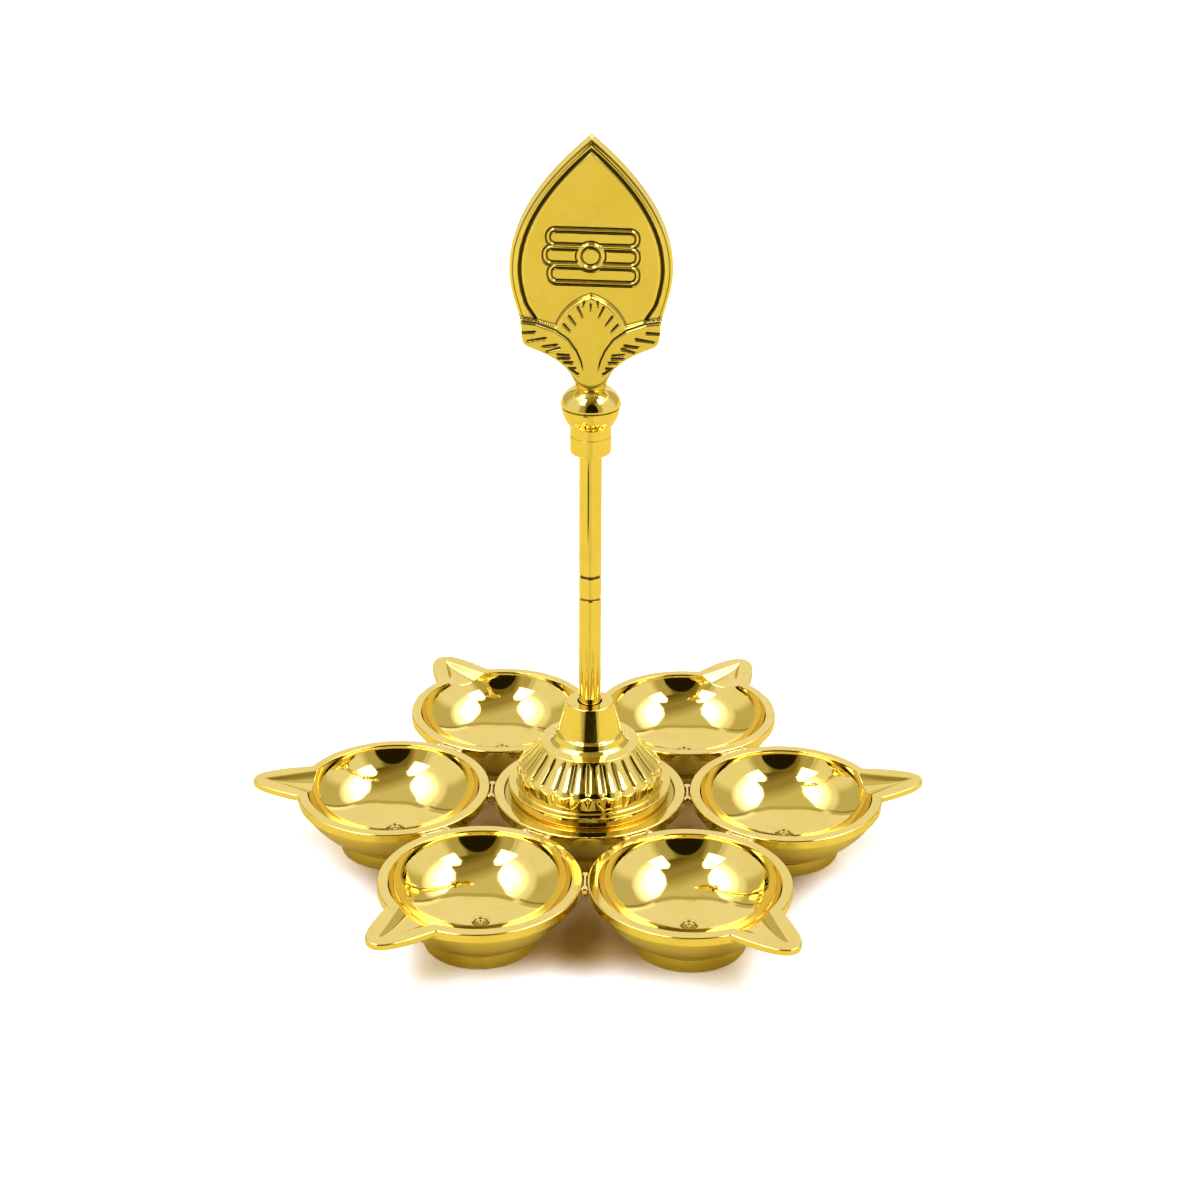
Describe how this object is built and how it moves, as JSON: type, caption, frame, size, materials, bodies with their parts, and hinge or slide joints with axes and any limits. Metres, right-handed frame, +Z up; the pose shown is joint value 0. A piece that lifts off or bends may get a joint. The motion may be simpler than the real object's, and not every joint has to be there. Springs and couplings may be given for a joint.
{
  "type": "oil lamp",
  "caption": "Hexagonal brass oil lamp: spouted cups round a fluted dome, with a turned stem that unscrews and carries a flat spear-shaped head.",
  "frame": {"origin": "on the stem's axis at the flat underside of the central foot, which is the surface the lamp stands on", "axes": "+Z up along the stem, -Y towards the viewer of the head's front face, +X to the viewer's right"},
  "size_m": [0.2186, 0.1884, 0.2345],
  "materials": {
    "cast_brass": "cast and buffed to a mirror polish",
    "solder_brass": "brazed bars, filed and lightly buffed",
    "turned_brass": "turned on a lathe and polished",
    "stud_brass": "plain machined, unpolished",
    "head_brass": "cast with low relief, polished, darker in the recesses"
  },
  "bodies": {
    "base": {"cup_right": "cast_brass", "cup_back_right": "cast_brass", "cup_back_left": "cast_brass", "cup_left": "cast_brass", "cup_front_left": "cast_brass", "cup_front_right": "cast_brass", "spoke_link_right": "solder_brass", "spoke_link_back_right": "solder_brass", "spoke_link_back_left": "solder_brass", "spoke_link_left": "solder_brass", "spoke_link_front_left": "solder_brass", "spoke_link_front_right": "solder_brass", "ring_link_right": "solder_brass", "ring_link_back_right": "solder_brass", "ring_link_back_left": "solder_brass", "ring_link_left": "solder_brass", "ring_link_front_left": "solder_brass", "ring_link_front_right": "solder_brass", "centre_bowl": "cast_brass", "fluted_dome": "cast_brass"},
    "socket_screw": {"socket_stud": "stud_brass"},
    "stem": {"stem_lower": "turned_brass", "stem_coupling": "turned_brass"},
    "coupling_screw": {"coupling_stud": "stud_brass"},
    "upper_stem": {"stem_upper": "turned_brass"},
    "head_screw": {"head_stud": "stud_brass"},
    "head": {"ferrule": "turned_brass", "knop_cap": "turned_brass", "spear_head": "head_brass"}
  },
  "joints": [
    {"name": "stem_lift", "type": "slide", "parent": "base", "child": "socket_screw", "axis": [0, 0, 1], "range_m": [0, 0.008]},
    {"name": "stem_turn", "type": "hinge", "parent": "socket_screw", "child": "stem", "pos_m": [0, 0, 0.0474], "axis": [0, 0, 1], "range_deg": [0, 2880]},
    {"name": "upper_lift", "type": "slide", "parent": "stem", "child": "coupling_screw", "axis": [0, 0, 1], "range_m": [0, 0.008]},
    {"name": "upper_turn", "type": "hinge", "parent": "coupling_screw", "child": "upper_stem", "pos_m": [0, 0, 0.0969], "axis": [0, 0, 1], "range_deg": [0, 2880]},
    {"name": "head_lift", "type": "slide", "parent": "upper_stem", "child": "head_screw", "axis": [0, 0, 1], "range_m": [0, 0.008]},
    {"name": "head_turn", "type": "hinge", "parent": "head_screw", "child": "head", "pos_m": [0, 0, 0.1417], "axis": [0, 0, 1], "range_deg": [0, 2880]}
  ],
  "couplings": [
    {"joint": "stem_turn", "follows": "stem_lift", "rad_per_m": 6283.2},
    {"joint": "upper_turn", "follows": "upper_lift", "rad_per_m": 6283.2},
    {"joint": "head_turn", "follows": "head_lift", "rad_per_m": 6283.2}
  ]
}
